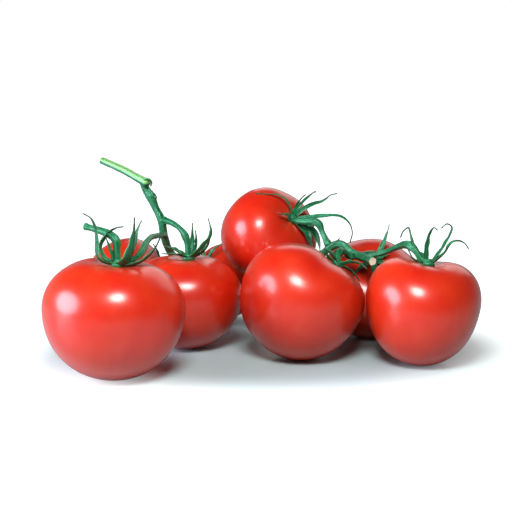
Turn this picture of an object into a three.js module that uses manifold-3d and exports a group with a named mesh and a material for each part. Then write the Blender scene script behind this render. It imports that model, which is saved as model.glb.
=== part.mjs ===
// A truss of eight ripe vine tomatoes, cut from the plant and lying on a table.
// Millimetres, +Z up. +X runs along the truss, -Y is the side it is usually seen from.
// The origin is on the table, under the middle of the truss. The tables below are laid out from a
// point 0.7 mm left of it and 7.3 mm behind it.
//
// Pieces: eight fruits, eight calyxes (a star of sepals on the upper half of a fruit's stalk, down
// from the stalk's knuckle), and one vine (the piece of main stem, the rachis and the lower stalks).

import * as THREE from "three";
import { mergeVertices } from "three/addons/utils/BufferGeometryUtils.js";
import Module from "manifold-3d";

const wasm = await Module();
wasm.setup();

// Driving dimensions

const gap = 0.3; // between neighbouring pieces
const footDepth = 0.3; // how far the skin is pressed flat where a fruit stands on the table
const fruitSides = 25;
const fruitRings = 15;
const stemSides = 9;
const bladeSteps = 8;
const bladeThickness = 1.0; // of a sepal at its root
const threadThickness = 0.7; // of a sepal at its dried tip
const receptacleRadius = 3.6;
const receptacleHeight = 2.4;
const calyxRise = 1.1; // of a calyx off the middle of its hollow

// Shape shared by all the fruits, as shares of the fruit's own radius
const squareness = 2.2; // of its section, where 2 is an ellipse
const shoulder = 0.13; // how much fuller it is above its middle, and slimmer below
const hollowWidth = 0.38; // radians from the calyx
const ribReach = 0.55; // radians over which the ribs fade, about the shoulder

// Each fruit: place of its middle on the table, radius, height, lift of its lowest point off the
// table, the ways its body and its calyx point, depth of the hollow under the calyx, number of
// ribs with their depth as a share of the radius, and how out of round it is.
const fruits = {
  1: {
    at: [-86, -65], radius: 38.5, height: 67, lift: 0,
    axis: [0.08, -0.03, 1], calyx: [0.1, -0.03, 1],
    hollow: 4.6, ribs: 5, ribDepth: 0.008, oval: 0.008,
  },
  2: {
    at: [-51, 3.9], radius: 33.8, height: 59, lift: 0,
    axis: [0.04, 0, 1], calyx: [0.06, 0, 1],
    hollow: 4, ribs: 6, ribDepth: 0.01, oval: 0.01,
  },
  3: {
    at: [-95, 57.5], radius: 30.6, height: 54, lift: 0,
    axis: [0.85, -0.3, 0.32], calyx: [0.85, -0.3, 0.32],
    hollow: 3.6, ribs: 5, ribDepth: 0.01, oval: 0.01,
  },
  4: {
    at: [-0.6, 37], radius: 30.5, height: 57, lift: 35.8,
    axis: [0.52, -0.7, 0.49], calyx: [0.62, -0.58, 0.53],
    hollow: 4, ribs: 5, ribDepth: 0.012, oval: 0.01,
  },
  5: {
    at: [18.2, -22.8], radius: 36.2, height: 66.8, lift: 0,
    axis: [0.4, 0.04, 0.91], calyx: [0.7, 0.08, 0.71],
    hollow: 4.4, ribs: 5, ribDepth: 0.02, oval: 0.012,
  },
  6: {
    at: [89.2, -35], radius: 32.8, height: 63.6, lift: 0,
    axis: [0.1, 0, 1], calyx: [0.11, 0, 1],
    hollow: 6, ribs: 2, ribDepth: 0.045, oval: -0.01,
  },
  7: {
    at: [66.9, 36.2], radius: 34, height: 58.8, lift: 0,
    axis: [0, -0.6, 0.8], calyx: [0, -0.6, 0.8],
    hollow: 4, ribs: 5, ribDepth: 0.012, oval: 0.012,
  },
  8: {
    at: [-29, 92], radius: 28, height: 48.5, lift: 0,
    axis: [-0.5, -0.4, 0.75], calyx: [-0.6, -0.4, 0.7],
    hollow: 3.4, ribs: 5, ribDepth: 0.012, oval: 0.012,
  },
};

// The main stem's cut piece: x, y, z and radius along its middle
const mainStem = [
  [-105.5, 30, 115.3, 2.2],
  [-90, 21, 109.4, 2.3],
  [-80, 14.8, 104.6, 2.5],
  [-75, 12, 102.4, 2.8],
];

// The rachis, from the main stem to its cut tip: x, y, z, radius
const rachis = [
  [-77.6, 14, 103, 2.2],
  [-75.8, 15, 98, 2.5],
  [-72.9, 14.3, 93.4, 3],
  [-70, 13.2, 86.6, 2.2],
  [-66.6, 12, 79.8, 2.5],
  [-65.2, 14, 69.3, 2.4],
  [-62.4, 26, 57, 2.3],
  [-55, 37, 48, 2.2],
  [-40, 40, 42, 2.2],
  [-19, 34, 32, 2.1],
  [4, 25, 26, 2.1],
  [22, 19, 36, 2.1],
  [31, 11, 52, 2.1],
  [35, 6.5, 59.8, 2.2],
  [44, 3, 65.4, 2.5],
  [52, -1, 60.2, 2.5],
  [57.6, -6, 57.6, 2.5],
  [62.6, -13.5, 57, 2.5],
];

// The stalk of each fruit, from its receptacle to the rachis: x, y, z, radius. The first point is
// worked out, at the top of the receptacle. knuckle counts the spans up to the joint where ripe
// fruit snaps off.
const stalks = {
  1: {
    knuckle: 2.5,
    points: [
      [-75, -63, 66, 1.6],
      [-72, -59, 67.8, 1.6],
      [-70.4, -52, 69.8, 1.9],
      [-69.8, -44, 72.4, 1.7],
      [-68.4, -35, 74.2, 1.6],
      [-67, -18, 73, 1.6],
      [-65.3, 8, 70.4, 1.7],
      [-65, 13, 69.4, 1.8],
    ],
  },
  2: {
    knuckle: 2,
    points: [
      [-49.8, 3.9, 65, 1.7],
      [-51, 4, 70.2, 2.1],
      [-54.6, 6, 74.8, 1.6],
      [-60, 9, 78, 1.7],
      [-66, 12, 79.4, 2],
    ],
  },
  3: {
    knuckle: 1,
    points: [
      [-66.5, 45.5, 44, 2.1],
      [-62, 39.5, 48.6, 1.8],
      [-56, 36.5, 49, 1.8],
    ],
  },
  4: {
    knuckle: 3,
    points: [
      [18.6, 17.6, 78.2, 1.8],
      [23.2, 14, 78, 1.8],
      [28.6, 11.2, 78.4, 2.1],
      [31.8, 10, 76.6, 2.3],
      [33.6, 9, 72.4, 1.7],
      [37.4, 5, 64.6, 1.8],
    ],
  },
  5: {
    knuckle: 1.5,
    points: [
      [41.2, -16.4, 61, 2.1],
      [43.6, -12, 63.2, 2],
      [46.6, -8, 61.8, 1.7],
      [49, -4.5, 59.4, 1.7],
      [52, -3, 58.6, 1.7],
    ],
  },
  6: {
    knuckle: 3.5,
    points: [
      [88.2, -33.5, 61.6, 1.8],
      [85.9, -32.4, 65.2, 1.9],
      [83.4, -30, 68.2, 2.3],
      [81.2, -25, 69, 2.3],
      [77.3, -17, 66.6, 1.8],
      [72.2, -8, 62.5, 1.5],
      [66.5, -3.5, 59.9, 1.5],
      [60, -3, 58.6, 1.5],
      [54, -2.5, 59, 1.6],
    ],
  },
  7: {
    knuckle: 1,
    points: [
      [66, 12, 57.4, 2.2],
      [63, 6, 59, 1.8],
      [55.5, -2, 58.8, 1.7],
    ],
  },
  8: {
    knuckle: 1,
    points: [
      [-50, 52.5, 45.2, 2.2],
      [-49.5, 46, 45.6, 1.8],
      [-46.5, 39.5, 44.6, 1.8],
    ],
  },
};

// The pruned tip of the first fruit's stalk, which runs on past the fruit, with a knuckle at its bend
const prunedTip = [
  [-82.9, -65, 63.5, 1.9],
  [-83.2, -65, 71, 1.9],
  [-83.7, -64.4, 76.8, 2.4],
  [-87, -63, 79.7, 2.2],
  [-92, -61, 81.5, 2],
  [-97.8, -58.6, 82.8, 1.7],
  [-101.6, -57, 83.6, 2.1],
];

// The sepals of each calyx. turn is the way a sepal leaves the stalk, round the calyx's own axis;
// rise lists its slope at equal steps along its length, 0 square to the axis and 90 along it;
// swing is how far it turns sideways by its tip. Degrees, with length and width in millimetres.
const sepals = {
  1: [
    { turn: 196, rise: [0, 8, 50, 84, 88, 80, 66, 54, 4], swing: 0, length: 35, width: 4.8 },
    { turn: 168, rise: [8, 16, 46, 84, 110, 126, 138, 158, 170], swing: 0, length: 31, width: 4.4 },
    { turn: 165, rise: [60, 66, 66, 60], swing: 0, length: 14, width: 3.4 },
    { turn: 316, rise: [14, 34, 60, 76, 84, 90, 94, 96], swing: 6, length: 30, width: 6.8 },
    { turn: 38, rise: [20, 40, 64, 80, 84, 74, 60], swing: 0, length: 26, width: 5 },
    { turn: 342, rise: [0, 10, 28, 42, 54, 64, 74], swing: 2, length: 29, width: 5 },
  ],
  2: [
    { turn: 330, rise: [38, 44, 50, 58, 108, 112], swing: 6, length: 30, width: 5.4 },
    { turn: 4, rise: [20, 34, 58, 84, 94], swing: 0, length: 21, width: 4.8 },
    { turn: 60, rise: [62, 84, 96, 100], swing: 0, length: 20, width: 4.4 },
    { turn: 30, rise: [50, 72, 96, 104], swing: 0, length: 16, width: 4.4 },
    { turn: 168, rise: [40, 28, 16, 8], swing: 0, length: 14, width: 5.4 },
    { turn: 228, rise: [32, 12, 0, 2], swing: -30, length: 16, width: 4 },
  ],
  3: [
    { turn: 20, rise: [30, 10, -20], swing: 0, length: 17, width: 4.4 },
    { turn: 92, rise: [35, 20, -5], swing: 0, length: 18, width: 4.4 },
    { turn: 165, rise: [35, 15, -10], swing: 10, length: 19, width: 4.4 },
    { turn: 238, rise: [35, 20, 0], swing: 0, length: 17, width: 4.4 },
    { turn: 308, rise: [30, 10, -15], swing: 0, length: 16, width: 4.4 },
  ],
  4: [
    { turn: 146, rise: [38, 20, -10, -40, -60, -62], swing: 54, length: 30, width: 3.6 },
    { turn: 114, rise: [20, 24, 38, 56, 62], swing: -40, length: 15, width: 3.4 },
    { turn: 102, rise: [20, 32, 44, 50, 40, 0, -70], swing: -50, length: 25, width: 3.6 },
    { turn: 78, rise: [32, 42, 36, 22, 24, 92, 96, 30], swing: -60, length: 33, width: 4.2 },
    { turn: 25, rise: [42, 50, 56, 60, 58, 36, 0, -30, -62], swing: -75, length: 48, width: 4.4 },
    { turn: 328, rise: [25, 14, 16, -4, -16, -24], swing: -20, length: 24, width: 5.4 },
    { turn: 352, rise: [30, 22, 22, 0, -14, -20], swing: -46, length: 27, width: 5.2 },
    { turn: 215, rise: [35, 10, -20], swing: 0, length: 12, width: 4 },
  ],
  5: [
    { turn: 206, rise: [28, 0, -20], swing: 0, length: 11, width: 4.4 },
    { turn: 200, rise: [-20, -10, 30, 95, 95, 95], swing: 0, length: 19, width: 3.8 },
    { turn: 318, rise: [60, 52, 20, -4], swing: 20, length: 17, width: 4.4 },
    { turn: 128, rise: [30, 12, -16], swing: 0, length: 12, width: 4.4 },
    { turn: 72, rise: [32, 16, -6, -14], swing: 0, length: 16, width: 4.2 },
    { turn: 12, rise: [30, 8, -22], swing: 0, length: 15, width: 4.2 },
  ],
  6: [
    { turn: 190, rise: [6, 10, 52, 58], swing: 0, length: 13, width: 3.2 },
    { turn: 162, rise: [46, 44, 46, 58, 66, 78, 42, -130, -20], swing: 0, length: 29, width: 4 },
    { turn: 122, rise: [58, 72, 86, 90, 96, 106, 120, 155, 235], swing: 0, length: 24, width: 5.2 },
    { turn: 15, rise: [55, 57, 59, 63, 68, 67, 92, 212, 231], swing: 0, length: 30.5, width: 4.2 },
    { turn: 350, rise: [42, 46, 52, 60, 74, 32, -8, -30, -66], swing: 0, length: 27, width: 4.4 },
    { turn: 100, rise: [30, 20, 0], swing: 20, length: 13, width: 3.6 },
  ],
  7: [
    { turn: 48, rise: [24, 36, 44, 40], swing: 24, length: 23, width: 4.2 },
    { turn: 168, rise: [34, 8, -20, -24], swing: 0, length: 18, width: 4.2 },
    { turn: 222, rise: [32, 4, -24, -34], swing: 0, length: 18, width: 4.2 },
    { turn: 268, rise: [30, 0, -24, -38], swing: 0, length: 19, width: 4.2 },
    { turn: 322, rise: [32, 4, -22], swing: 0, length: 16, width: 4.2 },
    { turn: 18, rise: [32, 10, -18], swing: 0, length: 9, width: 4 },
  ],
  8: [
    { turn: 10, rise: [32, 10, -15], swing: 0, length: 15, width: 4.2 },
    { turn: 82, rise: [32, 12, -10], swing: 0, length: 17, width: 4.2 },
    { turn: 155, rise: [34, 20, 4], swing: 0, length: 17, width: 4.2 },
    { turn: 226, rise: [34, 18, 0], swing: 0, length: 16, width: 4.2 },
    { turn: 300, rise: [32, 10, -15], swing: 0, length: 15, width: 4.2 },
  ],
};

// Solids and meshes

function solidOf(geometry) {
  const bare = geometry.clone();
  for (const name of Object.keys(bare.attributes)) {
    if (name !== "position") bare.deleteAttribute(name);
  }
  const merged = mergeVertices(bare, 1e-4);
  return new wasm.Manifold(
    new wasm.Mesh({
      numProp: 3,
      vertProperties: new Float32Array(merged.attributes.position.array),
      triVerts: new Uint32Array(merged.index.array),
    }),
  );
}

function geometryOf(solid) {
  const { numProp, numVert, vertProperties, triVerts } = solid.getMesh();
  const places = new Float32Array(numVert * 3);
  for (let i = 0; i < numVert; i++) {
    places.set(vertProperties.subarray(i * numProp, i * numProp + 3), i * 3);
  }
  return new THREE.BufferGeometry()
    .setAttribute("position", new THREE.BufferAttribute(places, 3))
    .setIndex(new THREE.BufferAttribute(triVerts, 1));
}

// Joins solids, and drops any scrap that the join leaves loose.
function joined(solids) {
  const whole = solids.reduce((sum, next) => sum.add(next));
  const bodies = whole.decompose();
  return bodies.reduce((most, next) => (next.volume() > most.volume() ? next : most));
}

// Skins a row of rings, each a list of the same number of points, and closes both ends.
function skin(rings) {
  const sides = rings[0].length;
  const places = rings.flat().flatMap((p) => [p.x, p.y, p.z]);
  const faces = [];
  for (let i = 0; i < rings.length - 1; i++) {
    for (let j = 0; j < sides; j++) {
      const a = i * sides + j;
      const b = i * sides + ((j + 1) % sides);
      faces.push(a, b, a + sides, b, b + sides, a + sides);
    }
  }
  const last = (rings.length - 1) * sides;
  for (let j = 1; j < sides - 1; j++) {
    faces.push(0, j + 1, j, last, last + j, last + j + 1);
  }
  return new THREE.BufferGeometry()
    .setAttribute("position", new THREE.Float32BufferAttribute(places, 3))
    .setIndex(faces);
}

// Fruits

const up = new THREE.Vector3(0, 0, 1);

// How far the skin is from a fruit's middle, in a direction in its calyx's frame: a body that is
// squarer than an ellipse and fuller towards its top, ribbed on its shoulder, a little out of
// round, and pressed in where the calyx sits.
function skinDistance(fruit, way) {
  const lean = way.angleTo(fruit.bodyWay);
  const across = (Math.sin(lean) / fruit.radius) ** squareness;
  const along = (Math.abs(Math.cos(lean)) / (fruit.height / 2)) ** squareness;
  const body = (across + along) ** (-1 / squareness) * (1 + shoulder * Math.cos(lean) * Math.sin(lean) ** 2);
  const angle = way.angleTo(up);
  const around = Math.atan2(way.y, way.x);
  const rib = fruit.ribDepth * Math.exp(-(((angle - 0.7) / ribReach) ** 2)) * Math.cos(fruit.ribs * around);
  const oval = fruit.oval * Math.sin(angle) * Math.cos(2 * around);
  return body * (1 + rib + oval) - fruit.hollow * Math.exp(-((angle / hollowWidth) ** 2));
}

function fruitPoint(fruit, angle, around) {
  const way = new THREE.Vector3().setFromSphericalCoords(1, angle, around);
  way.set(way.z, way.x, way.y);
  return way.multiplyScalar(skinDistance(fruit, way));
}

function fruitGeometry(fruit) {
  const places = [];
  const faces = [];
  const add = (p) => places.push(p.x, p.y, p.z);
  add(fruitPoint(fruit, 0, 0));
  for (let i = 1; i < fruitRings; i++) {
    const share = i / fruitRings;
    const angle = Math.PI * (share - 0.06 * Math.sin(2 * Math.PI * share)); // rings crowd at the calyx
    for (let j = 0; j < fruitSides; j++) add(fruitPoint(fruit, angle, (2 * Math.PI * j) / fruitSides));
  }
  add(fruitPoint(fruit, Math.PI, 0));
  const end = places.length / 3 - 1;
  const at = (i, j) => 1 + (i - 1) * fruitSides + (j % fruitSides);
  for (let j = 0; j < fruitSides; j++) {
    faces.push(0, at(1, j), at(1, j + 1));
    for (let i = 1; i < fruitRings - 1; i++) {
      faces.push(at(i, j), at(i + 1, j), at(i + 1, j + 1), at(i, j), at(i + 1, j + 1), at(i, j + 1));
    }
    faces.push(at(fruitRings - 1, j), end, at(fruitRings - 1, j + 1));
  }
  return new THREE.BufferGeometry()
    .setAttribute("position", new THREE.Float32BufferAttribute(places, 3))
    .setIndex(faces);
}

// Turns and lifts each fruit to where it lies, and finds where its calyx sits.
for (const fruit of Object.values(fruits)) {
  fruit.stand = new THREE.Quaternion().setFromUnitVectors(up, new THREE.Vector3(...fruit.calyx).normalize());
  fruit.bodyWay = new THREE.Vector3(...fruit.axis).normalize().applyQuaternion(fruit.stand.clone().invert());
  fruit.shape = fruitGeometry(fruit);
  const turned = fruit.shape.clone().applyQuaternion(fruit.stand);
  turned.computeBoundingBox();
  const foot = fruit.lift > 0 ? 0 : footDepth;
  fruit.middle = new THREE.Vector3(...fruit.at, fruit.lift - foot - turned.boundingBox.min.z);
  fruit.calyxAt = new THREE.Vector3(...fruit.calyx)
    .setLength(skinDistance(fruit, up) + calyxRise)
    .add(fruit.middle);
}

// Moves a point out of every fruit, so that it lies at least a margin off the skin.
function clearOfFruits(point, margin) {
  const moved = point.clone();
  for (const fruit of Object.values(fruits)) {
    const from = moved.clone().sub(fruit.middle);
    const way = from.clone().applyQuaternion(fruit.stand.clone().invert());
    const least = skinDistance(fruit, way) + margin;
    if (from.length() < least) moved.copy(from).setLength(least).add(fruit.middle);
  }
  return moved;
}

function fruitSolid(fruit) {
  const table = new THREE.BoxGeometry(300, 300, 60).translate(fruit.middle.x, fruit.middle.y, -30);
  table.translate(-fruit.middle.x, -fruit.middle.y, -fruit.middle.z);
  table.applyQuaternion(fruit.stand.clone().invert());
  return solidOf(fruit.shape).subtract(solidOf(table));
}

// Stems

// A round stem along points of x, y, z and radius, between two spans' counts.
function stemSolid(points, from = 0, to = points.length - 1, sides = stemSides) {
  const path = new THREE.CatmullRomCurve3(points.map(([x, y, z]) => new THREE.Vector3(x, y, z)));
  const thick = new THREE.CatmullRomCurve3(points.map((p, i) => new THREE.Vector3(i, p[3], 0)));
  const spans = points.length - 1;
  const steps = Math.max(2, Math.round((to - from) * 2.4));
  const rings = [];
  let side = new THREE.Vector3(0.31, 0.2, 0.93);
  for (let i = 0; i <= steps; i++) {
    const t = (from + ((to - from) * i) / steps) / spans;
    const middle = path.getPoint(t);
    const along = path.getTangent(t);
    side.addScaledVector(along, -side.dot(along)).normalize();
    const other = along.clone().cross(side);
    const radius = thick.getPoint(t).y;
    rings.push(
      Array.from({ length: sides }, (_, j) => {
        const angle = (2 * Math.PI * j) / sides;
        return middle
          .clone()
          .addScaledVector(side, radius * Math.cos(angle))
          .addScaledVector(other, radius * Math.sin(angle));
      }),
    );
  }
  return solidOf(skin(rings));
}

// The full stalk of a fruit, from the top of its receptacle
function stalkPoints(key) {
  const { calyxAt, stand } = fruits[key];
  const top = new THREE.Vector3(0, 0, receptacleHeight * 0.4).applyQuaternion(stand).add(calyxAt);
  return [[...top.toArray(), 1.9], ...stalks[key].points];
}

// Half of the gap at a knuckle, in spans
function knuckleGap(key) {
  const points = stalkPoints(key);
  const [a, b] = points.slice(Math.floor(stalks[key].knuckle)).map(([x, y, z]) => new THREE.Vector3(x, y, z));
  return gap / 2 / a.distanceTo(b);
}

// Calyxes

// The line of a sepal, in steps that each follow its slope and its turn
function sepalLine(key, { turn, rise, swing, length }) {
  const { calyxAt, stand } = fruits[key];
  const radians = THREE.MathUtils.degToRad;
  const start = new THREE.Vector3(Math.cos(radians(turn)), Math.sin(radians(turn)), 0).multiplyScalar(1.6);
  start.z = receptacleHeight * 0.45;
  const line = [start];
  for (let i = 0; i < bladeSteps; i++) {
    const share = (i + 0.5) / bladeSteps;
    const place = share * (rise.length - 1);
    const low = Math.floor(place);
    const slope = radians(THREE.MathUtils.lerp(rise[low], rise[low + 1], place - low));
    const way = radians(turn + swing * share);
    const step = new THREE.Vector3(
      Math.cos(slope) * Math.cos(way),
      Math.cos(slope) * Math.sin(way),
      Math.sin(slope),
    );
    line.push(line[i].clone().addScaledVector(step, (length + 1.6) / bladeSteps));
  }
  return line.map((p, i) => {
    const placed = p.applyQuaternion(stand).add(calyxAt);
    return i < 2 ? placed : clearOfFruits(placed, bladeThickness / 2 + gap);
  });
}

// A sepal: a blade a little arched across, widest near its root, thin at its tip
function sepalSolid(key, sepal) {
  const line = sepalLine(key, sepal);
  const turned = THREE.MathUtils.degToRad(sepal.turn + 90);
  const across = new THREE.Vector3(Math.cos(turned), Math.sin(turned), 0).applyQuaternion(fruits[key].stand);
  const rings = line.map((middle, i) => {
    const share = i / bladeSteps;
    const along = line[Math.min(i + 1, bladeSteps)].clone().sub(line[Math.max(i - 1, 0)]).normalize();
    across.addScaledVector(along, -across.dot(along)).normalize();
    const face = along.clone().cross(across);
    const half = Math.max(threadThickness, sepal.width * (1 - share) ** 1.3 * (0.7 + 1.8 * share)) / 2;
    const thick = THREE.MathUtils.lerp(bladeThickness, threadThickness, share) / 2;
    const droop = 0.16 * half;
    const corner = (sideways, outwards) =>
      middle.clone().addScaledVector(across, sideways).addScaledVector(face, outwards);
    return [corner(-half, -droop), corner(0, -thick), corner(half, -droop), corner(0, thick)];
  });
  const solid = solidOf(skin(rings));
  return solid.volume() < 0 ? solidOf(skin(rings.map((ring) => ring.reverse()))) : solid;
}

function receptacleSolid(key) {
  const { calyxAt, stand } = fruits[key];
  const profile = [
    [0, 0],
    [receptacleRadius * 0.8, 0],
    [receptacleRadius, receptacleHeight * 0.35],
    [receptacleRadius * 0.85, receptacleHeight * 0.75],
    [0, receptacleHeight],
  ].map(([x, y]) => new THREE.Vector2(x, y));
  const shape = new THREE.LatheGeometry(profile, 12).rotateX(Math.PI / 2);
  return solidOf(shape.applyQuaternion(stand).translate(...calyxAt.toArray()));
}

function calyxSolid(key) {
  const upperStalk = stemSolid(stalkPoints(key), 0, stalks[key].knuckle - knuckleGap(key));
  const parts = [receptacleSolid(key), upperStalk, ...sepals[key].map((sepal) => sepalSolid(key, sepal))];
  if (key === "1") parts.push(stemSolid(prunedTip));
  return joined(parts);
}

// Vine

function vineSolid() {
  const lowerStalks = Object.keys(stalks).map((key) =>
    stemSolid(stalkPoints(key), stalks[key].knuckle + knuckleGap(key)),
  );
  return joined([stemSolid(mainStem, 0, mainStem.length - 1, 12), stemSolid(rachis), ...lowerStalks]);
}

// Materials and the finished truss

const skinRed = new THREE.MeshStandardMaterial({ color: 0xc81e12, roughness: 0.22, metalness: 0 });
const calyxGreen = new THREE.MeshStandardMaterial({ color: 0x2f7d3f, roughness: 0.6, metalness: 0 });
const vineGreen = new THREE.MeshStandardMaterial({ color: 0x37864a, roughness: 0.55, metalness: 0 });

const truss = new THREE.Group();
truss.name = "tomato_truss";

for (const [key, fruit] of Object.entries(fruits)) {
  const body = new THREE.Mesh(geometryOf(fruitSolid(fruit)), skinRed);
  body.name = `fruit_${key}`;
  body.quaternion.copy(fruit.stand);
  body.position.copy(fruit.middle);
  truss.add(body);

  const calyx = new THREE.Mesh(geometryOf(calyxSolid(key)), calyxGreen);
  calyx.name = `calyx_${key}`;
  truss.add(calyx);
}

const vine = new THREE.Mesh(geometryOf(vineSolid()), vineGreen);
vine.name = "vine";
truss.add(vine);
truss.position.set(0.7, -7.3, 0); // puts the origin under the middle of the truss

export default truss;
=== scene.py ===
# A truss of eight ripe vine tomatoes: the fine surfaces, finishes, light and camera that go round
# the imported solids. The tables hold millimetres, as the solids' own do, and every mesh is in metres.

import math

import bpy
import numpy as np
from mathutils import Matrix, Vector


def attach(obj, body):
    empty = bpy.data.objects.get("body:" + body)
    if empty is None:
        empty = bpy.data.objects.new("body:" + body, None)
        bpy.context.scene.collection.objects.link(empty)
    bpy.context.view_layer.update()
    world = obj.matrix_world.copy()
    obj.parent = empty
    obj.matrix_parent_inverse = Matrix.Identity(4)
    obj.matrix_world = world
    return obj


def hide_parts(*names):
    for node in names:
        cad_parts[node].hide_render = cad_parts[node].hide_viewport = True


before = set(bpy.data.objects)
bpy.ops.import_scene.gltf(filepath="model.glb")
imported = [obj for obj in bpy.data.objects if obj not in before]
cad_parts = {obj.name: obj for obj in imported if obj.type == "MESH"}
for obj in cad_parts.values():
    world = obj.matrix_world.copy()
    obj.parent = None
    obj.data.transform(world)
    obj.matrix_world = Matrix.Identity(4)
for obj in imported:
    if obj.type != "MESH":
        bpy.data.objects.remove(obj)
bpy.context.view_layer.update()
print("frame loaded:", len(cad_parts), "nodes")

millimetre = 0.001
fromTables = np.array([0.7, -7.3, 0.0])  # from the tables' own zero to the middle of the truss

# Camera: place in millimetres, how far it looks down in degrees, lens and sensor in millimetres

cameraView = dict(place=(-6.7, -587.3, 146.5), down=8.64, lens=67.08, sensor=36)

camera = bpy.data.objects.new("camera", bpy.data.cameras.new("camera"))
bpy.context.collection.objects.link(camera)
camera.location = np.array(cameraView["place"]) * millimetre
camera.rotation_euler = (math.radians(90 - cameraView["down"]), 0, 0)
camera.data.lens = cameraView["lens"]
camera.data.sensor_width = cameraView["sensor"]
bpy.context.scene.camera = camera
bpy.context.scene.view_settings.view_transform = "Standard"


# Curves and surfaces shared by all the pieces


def unit(way):
    way = np.asarray(way, float)
    return way / np.linalg.norm(way, axis=-1, keepdims=True)


def bell(distance, width):
    # one at no distance, falling smoothly to nothing past the width
    return np.exp(-((distance / width) ** 2))


def uprightTo(way):
    # the shortest turn that takes +Z to a direction
    x, y, z = unit(way)
    k = 1 / (1 + z)
    return np.array([[1 - k * x * x, -k * x * y, x], [-k * x * y, 1 - k * y * y, y], [-x, -y, z]])


def stacked(*parts):
    # arrays stretched to one shape and joined as the coordinates of points
    return np.stack(np.broadcast_arrays(*parts), -1)


def turnsRound(sides):
    # equal angles once round, as one row
    return np.linspace(0, 2 * np.pi, sides, endpoint=False)[None, :]


def alongCurve(points, u):
    # centripetal Catmull-Rom through the points, where u counts the spans
    points = np.asarray(points, float)
    first = np.clip(np.floor(u).astype(int), 0, len(points) - 2)
    t = (u - first)[:, None]
    padded = np.vstack([2 * points[0] - points[1], points, 2 * points[-1] - points[-2]])
    p0, p1, p2, p3 = (padded[first + k] for k in range(4))
    d0, d1, d2 = (
        np.maximum(np.linalg.norm(b - a, axis=1, keepdims=True), 0.01) ** 0.5
        for a, b in ((p0, p1), (p1, p2), (p2, p3))
    )
    out = ((p1 - p0) / d0 - (p2 - p0) / (d0 + d1) + (p2 - p1) / d1) * d1
    into = ((p2 - p1) / d1 - (p3 - p1) / (d1 + d2) + (p3 - p2) / d2) * d1
    return p1 + out * t + (3 * (p2 - p1) - 2 * out - into) * t**2 + (2 * (p1 - p2) + out + into) * t**3


def carriedFrame(line, side):
    # the way along a line at each of its points, and two ways across it that never twist
    along = unit(np.gradient(line, axis=0))
    sides = []
    for way in along:
        side = unit(side - way * (side @ way))
        sides.append(side)
    side = np.array(sides)
    return along, side, np.cross(along, side)


# What the finishes read from a mesh, and how many numbers each holds at a point
fieldSizes = dict(run=3, meridian=3, fromCalyx=1, tip=1, under=1, edge=1, ridge=1, cut=1, pale=1)


def surfaceOf(grid, start, end, **fields):
    # a closed surface: rows of a grid joined into rings, with a middle point that closes each end,
    # its faces turned outwards by the sign of its volume
    rows, sides = grid.shape[:2]
    points = np.vstack([grid.reshape(-1, 3), start, end])
    index = np.arange(rows * sides).reshape(rows, sides)
    after = np.roll(index, -1, axis=1)
    quads = np.stack([index[:-1], after[:-1], after[1:], index[1:]], -1).reshape(-1, 4)
    ends = np.vstack([
        np.stack([after[0], index[0], np.full(sides, rows * sides)], -1),
        np.stack([index[-1], after[-1], np.full(sides, rows * sides + 1)], -1),
    ])
    a, b, c = (points[ends[:, k]] for k in range(3))
    p, q, r, s = (points[quads[:, k]] for k in range(4))
    volume = np.sum(a * np.cross(b, c)) + np.sum(p * np.cross(q, r)) + np.sum(p * np.cross(r, s))
    if volume < 0:
        quads, ends = quads[:, ::-1], ends[:, ::-1]
    carried = {}
    for name, values in fields.items():
        shape = (rows, sides, 3) if fieldSizes[name] == 3 else (rows, sides)
        flat = np.broadcast_to(values, shape).reshape(rows * sides, -1)
        carried[name] = np.vstack([flat, flat[:sides].mean(0), flat[-sides:].mean(0)])
    return dict(points=points, quads=quads, ends=ends, fields=carried)


def makePiece(name, surfaces, finish, nodes=()):
    # one mesh from several closed surfaces, with their fields as attributes
    counts = np.cumsum([0] + [len(s["points"]) for s in surfaces])
    points = np.vstack([s["points"] for s in surfaces])
    quads = np.vstack([s["quads"] + n for s, n in zip(surfaces, counts)])
    ends = np.vstack([s["ends"] + n for s, n in zip(surfaces, counts)])
    mesh = bpy.data.meshes.new(name)
    mesh.from_pydata(((points + fromTables) * millimetre).tolist(), [], quads.tolist() + ends.tolist())
    mesh.polygons.foreach_set("use_smooth", np.ones(len(mesh.polygons), bool))
    for field in sorted({f for s in surfaces for f in s["fields"]}):
        size = fieldSizes[field]
        kind, socket = ("FLOAT_VECTOR", "vector") if size == 3 else ("FLOAT", "value")
        rows = [s["fields"].get(field, np.zeros((len(s["points"]), size))) for s in surfaces]
        attribute = mesh.attributes.new(field, kind, "POINT")
        attribute.data.foreach_set(socket, np.vstack(rows).ravel().astype(np.float32))
    mesh.materials.append(finish)
    mesh.validate()
    piece = bpy.data.objects.new(name, mesh)
    bpy.context.collection.objects.link(piece)
    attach(piece, "root")
    if nodes:
        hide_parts(*nodes)


# Finishes


def plug(tree, socket, value):
    # links a socket to another one, or sets it to a value
    if isinstance(value, bpy.types.NodeSocket):
        tree.links.new(value, socket)
    else:
        socket.default_value = (*value, 1) if socket.type == "RGBA" and len(value) == 3 else value


def newNode(tree, kind, **values):
    # a node with its sockets set by name, where at0 is the first socket and at1 the second
    node = tree.nodes.new(kind)
    for name, value in values.items():
        number = name[2:]
        plug(tree, node.inputs[int(number) if number.isdigit() else name], value)
    return node


def rampOf(tree, value, stops):
    # greys that run evenly from one stop to the next, where a stop is a place and a grey
    ramp = newNode(tree, "ShaderNodeValToRGB", Fac=value)
    elements = ramp.color_ramp.elements
    while len(elements) < len(stops):
        elements.new(0.5)
    for element, (place, grey) in zip(elements, stops):
        element.position = place
        element.color = (grey, grey, grey, 1)
    return ramp.outputs["Color"]


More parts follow.
